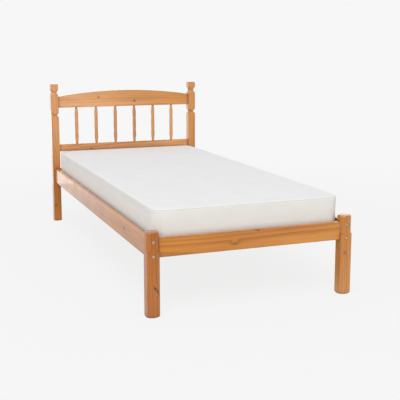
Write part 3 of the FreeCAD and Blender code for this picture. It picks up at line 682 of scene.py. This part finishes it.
class BED_OT_rails(bpy.types.Operator):
    """Stain and lacquer the side rails and the two end rails"""

    bl_idname = "bed.finish_rails"
    bl_label = "Finish Rails"

    def execute(self, context):
        foot_rail_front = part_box("foot_rail")[0].y
        outer_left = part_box("side_rail_left")[0].x
        foot_knots = [
            Knot((-0.088, foot_rail_front, 0.289), Y_AXIS, 0.006, 1.6, 0.0, 0.35),
            Knot((0.020, foot_rail_front, 0.336), Y_AXIS, 0.003, 3.0, 8.0, 0.6),
        ]
        left_knots = [Knot((outer_left, -0.642, 0.305), X_AXIS, 0.010, 1.2, 0.0, 0.8)]
        rails = {
            "foot_rail": ((0.9, 0.07, -0.03), foot_knots, (0.50, 0.44), 0.6, 2.2),
            "side_rail_left": ((0.08, 0.3, 0.02), left_knots, (0.62, 0.40)),
            "side_rail_right": ((-0.07, 1.7, -0.02), (), (0.55, 0.50)),
            "head_base_rail": ((0.4, -0.06, 0.02), (), (0.60, 0.50)),
        }
        for node, finish in rails.items():
            dress(node, lacquered_pine(node, *finish))
        return {"FINISHED"}


class BED_OT_headboard(bpy.types.Operator):
    """Stain and lacquer the arched rail, the lower rail and the spindles"""

    bl_idname = "bed.finish_headboard"
    bl_label = "Finish Headboard"

    def execute(self, context):
        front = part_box("headboard_top_rail")[0].y
        top_knots = [
            Knot((-0.178, front, 0.795), Y_AXIS, 0.0055, 1.3, 0.0, 0.75),
            Knot((0.064, front, 0.767), Y_AXIS, 0.0055, 1.1, 0.0, 1.0),
        ]
        lower_knots = [Knot((-0.233, front, 0.462), Y_AXIS, 0.0045, 1.5, 0.0, 0.9)]
        rails = {
            "headboard_top_rail": ((0.2, 0.08, -0.06), top_knots, (0.08, 0.38), 0.35, 1.7),
            "headboard_lower_rail": ((1.1, 0.06, 0.03), lower_knots, (0.30, 0.26)),
        }
        for node, finish in rails.items():
            dress(node, lacquered_pine(node, *finish))
        for node in sorted(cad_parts):
            if node.startswith("spindle_"):
                heart = chance_heart(node)
                dress(node, lacquered_pine(node, (heart.x, heart.z, heart.y), (), (0.20, 0.12)))
        return {"FINISHED"}


class BED_OT_slatted_base(bpy.types.Operator):
    """Plain planed pine for the slats and their ledges"""

    bl_idname = "bed.finish_slatted_base"
    bl_label = "Finish Slatted Base"

    def execute(self, context):
        for node in sorted(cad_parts):
            if not node.startswith("slat_") or node == "slat_screws":
                continue
            heart = chance_heart(node)
            low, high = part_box(node)
            if node.startswith("slat_ledge"):
                knots = []
            else:
                heart = Vector((heart.y, heart.x, heart.z))
                across = random.Random(node + " knot").uniform(-0.4, 0.4)
                knots = [Knot((across, (low.y + high.y) / 2, high.z), Z_AXIS, 0.006)]
            dress(node, bare_pine(node, heart, knots))
        return {"FINISHED"}


class BED_OT_hardware(bpy.types.Operator):
    """Beech for the dowels and zinc for the bolts, barrel nuts and screws"""

    bl_idname = "bed.finish_hardware"
    bl_label = "Finish Hardware"

    def execute(self, context):
        beech = beech_material()
        zinc = zinc_material()
        for node in sorted(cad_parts):
            if node.endswith("_dowels"):
                dress(node, beech)
            elif node.endswith(("_bolts", "_nuts", "_screws")):
                dress(node, zinc)
        return {"FINISHED"}


# ---- Operator: mattress -----------------------------------------------------------------------
CORNER_SEGMENTS = 8
ROLL_SEGMENTS = 5
CUT_TOLERANCE = 1e-5              # a point this near a cut counts as on it
LEAST_RISE = 1e-4                 # a face lower than this is level and needs no cut
PRESSURE = 4.0                    # of the filling, in the simulation's own unit
CLOTH_QUALITY = 5
SMOOTHING = 2                     # levels of subdivision
FOLD_LENGTH = 0.044
FOLD_DRIFT_LENGTH = 0.27          # the folds' spacing drifts over this length
FOLD_DRIFT = 1.6                  # and by this many radians
SEAM_CUTS = (-1.0, -0.5, 0.0, 0.5, 1.0)   # in half widths of the sewn groove
SEAM_BAND = 3                     # half widths round a seam whose faces are cut


def plain_cover(low, high, corner, roll, cell):
    """The sewn cover before it is filled: a block with round corners and rolled edges."""
    mesh = bmesh.new()
    bmesh.ops.create_cube(mesh, size=1.0)
    bmesh.ops.scale(mesh, vec=high - low, verts=mesh.verts)
    bmesh.ops.translate(mesh, vec=(low + high) / 2, verts=mesh.verts)
    upright = [edge for edge in mesh.edges if abs(edge.verts[0].co.z - edge.verts[1].co.z) > roll]
    bmesh.ops.bevel(
        mesh, geom=upright, offset=corner, segments=CORNER_SEGMENTS, profile=0.5,
        affect="EDGES", material=-1,
    )
    level = []
    for edge in mesh.edges:
        lying = [face for face in edge.link_faces if abs(face.normal.z) > 0.9]
        if len(lying) == 1:
            level.append(edge)
    bmesh.ops.bevel(
        mesh, geom=level, offset=roll, segments=ROLL_SEGMENTS, profile=0.5,
        affect="EDGES", material=-1,
    )
    inner_low = low + Vector((corner, corner, roll))
    inner_high = high - Vector((corner, corner, roll))
    for axis in range(3):
        span = inner_high[axis] - inner_low[axis]
        count = round(span / cell)
        across = Vector([float(index == axis) for index in range(3)])
        for step in range(count + 1):
            place = inner_low + across * span * step / count
            cut_level(mesh, mesh.faces, place, across)
    return mesh


def cut_level(mesh, faces, place, across):
    """Cut some faces along a plane."""
    faces = list(faces)
    edges = dict.fromkeys(edge for face in faces for edge in face.edges)
    verts = dict.fromkeys(vertex for face in faces for vertex in face.verts)
    bmesh.ops.bisect_plane(
        mesh, geom=[*verts, *edges, *faces], dist=CUT_TOLERANCE, plane_co=place, plane_no=across
    )


def bake_modifiers(piece):
    """Replace a piece's mesh by what its modifiers make of it."""
    shown = piece.evaluated_get(bpy.context.evaluated_depsgraph_get())
    mesh = bpy.data.meshes.new_from_object(shown)
    piece.modifiers.clear()
    piece.data = mesh


def hold_vertices(piece, height, reach):
    """A vertex group of the stitched edge, which the filling can't push out."""
    group = piece.vertex_groups.new(name="stitched")
    held = []
    for vertex in piece.data.vertices:
        if abs(vertex.co.z - height) < reach and abs(vertex.normal.z) < LEVEL_NORMAL:
            held.append(vertex.index)
    group.add(held, 1.0, "REPLACE")
    return group.name


def fill_cover(piece, stitched, steps, swell):
    """Blow the cover up from inside, held at its stitched edge, and cap how far it moves."""
    before = [vertex.co.copy() for vertex in piece.data.vertices]
    cloth = piece.modifiers.new("filling", "CLOTH")
    cloth.settings.quality = CLOTH_QUALITY
    cloth.settings.use_pressure = True
    cloth.settings.uniform_pressure_force = PRESSURE
    cloth.settings.effector_weights.gravity = 0.0
    cloth.settings.vertex_group_mass = stitched
    cloth.point_cache.frame_start = 1
    cloth.point_cache.frame_end = steps
    scene = bpy.context.scene
    for step in range(1, steps + 1):
        scene.frame_set(step)
    bake_modifiers(piece)
    scene.frame_set(1)
    for vertex, start in zip(piece.data.vertices, before):
        move = vertex.co - start
        if move.length > swell:
            move.length = swell
        vertex.co = start + move


def settle(piece, low, high, crown):
    """Lower the top towards its edges, and keep the underside on the slats."""
    for vertex in piece.data.vertices:
        inset = min(
            vertex.co.x - low.x, high.x - vertex.co.x, vertex.co.y - low.y, high.y - vertex.co.y
        )
        rise = min(1.0, max(0.0, inset) / CROWN_REACH)
        share = (vertex.co.z - low.z) / (high.z - low.z)
        vertex.co.z -= crown * share * (1.0 - rise) ** 2
        vertex.co.z = max(vertex.co.z, low.z)


def fold_wave(along):
    """Small uneven folds along a seam, between -1 and 1."""
    drift = FOLD_DRIFT * math.sin(2 * math.pi * along / FOLD_DRIFT_LENGTH)
    return math.sin(2 * math.pi * along / FOLD_LENGTH + drift)


def cut_seams(piece, heights, half_width, depth, pucker):
    """Level grooves round the cover and the small folds that the thread draws up beside
    them, with a seam attribute for the colour."""
    mesh = bmesh.new()
    mesh.from_mesh(piece.data)
    for height in heights:
        lowest = height - SEAM_BAND * half_width
        highest = height + SEAM_BAND * half_width
        for share in SEAM_CUTS:
            faces = []
            for face in mesh.faces:
                levels = [vertex.co.z for vertex in face.verts]
                rise = max(levels) - min(levels)
                if max(levels) > lowest and min(levels) < highest and rise > LEAST_RISE:
                    faces.append(face)
            place = Vector((0.0, 0.0, height + share * half_width))
            cut_level(mesh, faces, place, Vector((0.0, 0.0, 1.0)))
    mesh.normal_update()
    layer = mesh.verts.layers.float.new("seam")
    for vertex in mesh.verts:
        away = min(abs(vertex.co.z - height) for height in heights)
        normal = vertex.normal.copy()
        if away < half_width and abs(normal.z) < LEVEL_NORMAL:
            share = 0.5 + 0.5 * math.cos(math.pi * away / half_width)
            vertex[layer] = share
            vertex.co -= normal * depth * share
        if away < PUCKER_REACH:
            beside = math.sin(math.pi * away / PUCKER_REACH)
            wave = normal.y ** 2 * fold_wave(vertex.co.x) + normal.x ** 2 * fold_wave(vertex.co.y)
            vertex.co += normal * pucker * beside * (wave - 1.0) / 2
    mesh.to_mesh(piece.data)
    mesh.free()


class BED_OT_mattress(bpy.types.Operator):
    """Sew, fill and seam the mattress, in the place of its plain solid"""

    bl_idname = "bed.make_mattress"
    bl_label = "Make Mattress"

    def execute(self, context):
        cover = context.scene.bed_cover
        low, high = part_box("mattress")
        sides = cover.swell - MATTRESS_PROUD
        top = cover.swell + MATTRESS_MARGIN
        inner_low = Vector((low.x + sides, low.y + sides, low.z + MATTRESS_MARGIN))
        inner_high = Vector((high.x - sides, high.y - sides, high.z - top))
        mesh = plain_cover(inner_low, inner_high, cover.corner, cover.roll, cover.cell)
        data = bpy.data.meshes.new("mattress_cover")
        mesh.to_mesh(data)
        mesh.free()
        piece = bpy.data.objects.new("mattress_cover", data)
        context.scene.collection.objects.link(piece)
        seams = (inner_high.z - cover.seam_drop, inner_low.z + cover.seam_drop)
        stitched = hold_vertices(piece, seams[0], cover.stitched_width)
        fill_cover(piece, stitched, cover.steps, cover.swell)
        subdivision = piece.modifiers.new("smooth", "SUBSURF")
        subdivision.levels = SMOOTHING
        subdivision.render_levels = SMOOTHING
        bake_modifiers(piece)
        cut_seams(piece, seams, cover.seam_width, cover.seam_depth, cover.pucker)
        settle(piece, low, high, cover.crown)
        piece.data.shade_smooth()
        piece.data.materials.append(cover_material())
        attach(piece, "mattress")
        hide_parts("mattress")
        return {"FINISHED"}


# ---- Operator: stage ----------------------------------------------------------------------------
# The photograph's camera, as found from the bed's edges: focal length and the level of the
# view's middle in pixels of a 400-pixel frame, its place in metres and its two angles.
FRAME_PIXELS = 400
FOCAL_PIXELS = 797.7
AXIS_PIXEL_Y = 181.455
SENSOR_WIDTH = 36.0
CAMERA_PLACE = (-1.4356, -4.0984, 1.1364)
CAMERA_HEADING = 21.079
CAMERA_DIP = 9.773
CAMERA_REACH = 60.0
DARK_SIDE = 0.45                  # what the gloss mirrors of the room in front of the foot end
FLOOR_RADIUS = 25.0
FLOOR_SIDES = 64
FADE_NEAR, FADE_FAR = 1.2, 4.0    # the floor fades into the backdrop between these distances
BACKDROP_IN_FLOOR = 0.89          # share of the backdrop in the floor under the bed
MIRRORED_NEAR, MIRRORED_FAR = 0.9, 2.0    # gloss sees the backdrop in the floor from here on
BED_MIDDLE = (0.0, 0.0, 0.4)
KEY_PLACE = (-3.75, -7.25, 9.65)
KEY_SIZE = (7.5, 7.5)
CARD_PLACE = (-1.0, 2.3, 0.3)
CARD_TARGET = (-0.49, 0.5, 0.25)
CARD_SIZE = (0.9, 0.6)
WALL_PLACE = (0.9, 3.4, 1.3)
WALL_TARGET = (0.9, 0.0, 1.3)
WALL_SIZE = (5.0, 2.4)


def floor_material(paint, backdrop):
    """A pale floor that fades into the background and keeps a soft shadow."""
    material = bpy.data.materials.new("floor")
    material.use_nodes = True
    tree = material.node_tree
    tree.nodes.clear()
    place = add(tree, "ShaderNodeTexCoord").outputs["Object"]
    distance = vector_maths(tree, "LENGTH", place)
    ray = add(tree, "ShaderNodeLightPath").outputs
    faded = ramp(tree, distance, FADE_NEAR, FADE_FAR, BACKDROP_IN_FLOOR, 1.0)
    share = maths(tree, "MULTIPLY", ray["Is Camera Ray"], faded)
    mirrored = ramp(tree, distance, MIRRORED_NEAR, MIRRORED_FAR)
    for kind in ("Is Glossy Ray", "Is Transmission Ray"):
        share = maths(tree, "MAXIMUM", share, maths(tree, "MULTIPLY", ray[kind], mirrored))
    dull = add(tree, "ShaderNodeBsdfDiffuse", inputs={"Color": paint})
    depth = add(tree, "ShaderNodeSeparateXYZ", inputs={"Vector": place}).outputs["Y"]
    lit = ramp(tree, depth, -2.4, 0.6, DARK_SIDE, 1.0)
    level = maths(tree, "MAXIMUM", ray["Is Camera Ray"], lit)
    plain = add(tree, "ShaderNodeEmission", inputs={"Color": backdrop, "Strength": level})
    mix = add(tree, "ShaderNodeMixShader", inputs={0: share})
    tree.links.new(dull.outputs[0], mix.inputs[1])
    tree.links.new(plain.outputs[0], mix.inputs[2])
    end = tree.nodes.new("ShaderNodeOutputMaterial")
    tree.links.new(mix.outputs[0], end.inputs["Surface"])
    return material


def set_world(backdrop, daylight):
    """Even light all round, and the backdrop's own colour where it is seen.  The room is
    darker towards the foot end, which gives the lacquer its depth."""
    world = bpy.data.worlds.new("studio")
    bpy.context.scene.world = world
    world.use_nodes = True
    tree = world.node_tree
    background = next(node for node in tree.nodes if node.type == "BACKGROUND")
    ray = add(tree, "ShaderNodeLightPath").outputs
    direction = add(tree, "ShaderNodeTexCoord").outputs["Generated"]
    depth = add(tree, "ShaderNodeSeparateXYZ", inputs={"Vector": direction}).outputs["Y"]
    level = maths(tree, "MULTIPLY", ray["Is Diffuse Ray"], daylight)
    level = maths(tree, "MAXIMUM", level, ray["Is Camera Ray"])
    mirrored = ramp(tree, depth, -0.8, 0.5, DARK_SIDE, 1.0)
    for kind in ("Is Glossy Ray", "Is Transmission Ray"):
        level = maths(tree, "MAXIMUM", level, maths(tree, "MULTIPLY", ray[kind], mirrored))
    background.inputs["Color"].default_value = (*backdrop, 1.0)
    give(tree, background.inputs["Strength"], level)


def add_lamp(name, place, target, size, watts, mirrored_only=False):
    """A rectangular lamp.  One that is mirrored only shows in gloss, and lights nothing."""
    lamp = bpy.data.lights.new(name, "AREA")
    lamp.shape = "RECTANGLE"
    lamp.size, lamp.size_y = size
    lamp.energy = watts
    holder = bpy.data.objects.new(name, lamp)
    holder.visible_camera = False
    holder.visible_diffuse = not mirrored_only
    holder.location = place
    holder.rotation_euler = (Vector(target) - Vector(place)).to_track_quat("-Z", "Y").to_euler()
    bpy.context.scene.collection.objects.link(holder)


def add_camera():
    lens = bpy.data.cameras.new("camera")
    lens.sensor_width = SENSOR_WIDTH
    lens.lens = SENSOR_WIDTH * FOCAL_PIXELS / FRAME_PIXELS
    lens.shift_y = (AXIS_PIXEL_Y - FRAME_PIXELS / 2) / FRAME_PIXELS
    lens.clip_end = CAMERA_REACH
    camera = bpy.data.objects.new("camera", lens)
    camera.location = CAMERA_PLACE
    camera.rotation_euler = (math.radians(90.0 - CAMERA_DIP), 0.0, -math.radians(CAMERA_HEADING))
    bpy.context.scene.collection.objects.link(camera)
    bpy.context.scene.camera = camera


class BED_OT_stage(bpy.types.Operator):
    """Floor, even studio light and the camera"""

    bl_idname = "bed.set_stage"
    bl_label = "Set Stage"

    def execute(self, context):
        stage = context.scene.bed_stage
        mesh = bmesh.new()
        bmesh.ops.create_circle(mesh, cap_ends=True, segments=FLOOR_SIDES, radius=FLOOR_RADIUS)
        data = bpy.data.meshes.new("floor")
        mesh.to_mesh(data)
        mesh.free()
        data.materials.append(floor_material(stage.floor, stage.backdrop))
        floor = bpy.data.objects.new("floor", data)
        context.scene.collection.objects.link(floor)
        set_world(stage.backdrop, stage.daylight)
        add_lamp("key", KEY_PLACE, BED_MIDDLE, KEY_SIZE, stage.key_watts)
        add_lamp("low_card", CARD_PLACE, CARD_TARGET, CARD_SIZE, stage.card_watts, mirrored_only=True)
        add_lamp("back_wall", WALL_PLACE, WALL_TARGET, WALL_SIZE, stage.wall_watts, mirrored_only=True)
        add_camera()
        context.scene.view_settings.view_transform = "Standard"
        return {"FINISHED"}


# ---- Panel and registration ---------------------------------------------------------------------
OPERATORS = (
    BED_OT_posts,
    BED_OT_rails,
    BED_OT_headboard,
    BED_OT_slatted_base,
    BED_OT_hardware,
    BED_OT_mattress,
    BED_OT_stage,
)


class BED_PT_finish(bpy.types.Panel):
    """Sizes, colours and steps of the bed's finish"""

    bl_idname = "BED_PT_finish"
    bl_label = "Spindle Bed"
    bl_space_type = "VIEW_3D"
    bl_region_type = "UI"
    bl_category = "Bed"

    def draw(self, context):
        for group, kind in SETTINGS.items():
            box = self.layout.box()
            for name in kind.__annotations__:
                box.prop(getattr(context.scene, group), name)
        for operator in OPERATORS:
            self.layout.operator(operator.bl_idname)


def register():
    for kind in (*SETTINGS.values(), *OPERATORS, BED_PT_finish):
        bpy.utils.register_class(kind)
    for name, kind in SETTINGS.items():
        setattr(bpy.types.Scene, name, PointerProperty(type=kind))


def unregister():
    for name in SETTINGS:
        delattr(bpy.types.Scene, name)
    for kind in reversed((*SETTINGS.values(), *OPERATORS, BED_PT_finish)):
        bpy.utils.unregister_class(kind)


def main():
    register()
    for operator in OPERATORS:
        group, name = operator.bl_idname.split(".")
        getattr(getattr(bpy.ops, group), name)()


if __name__ == "__main__":
    main()
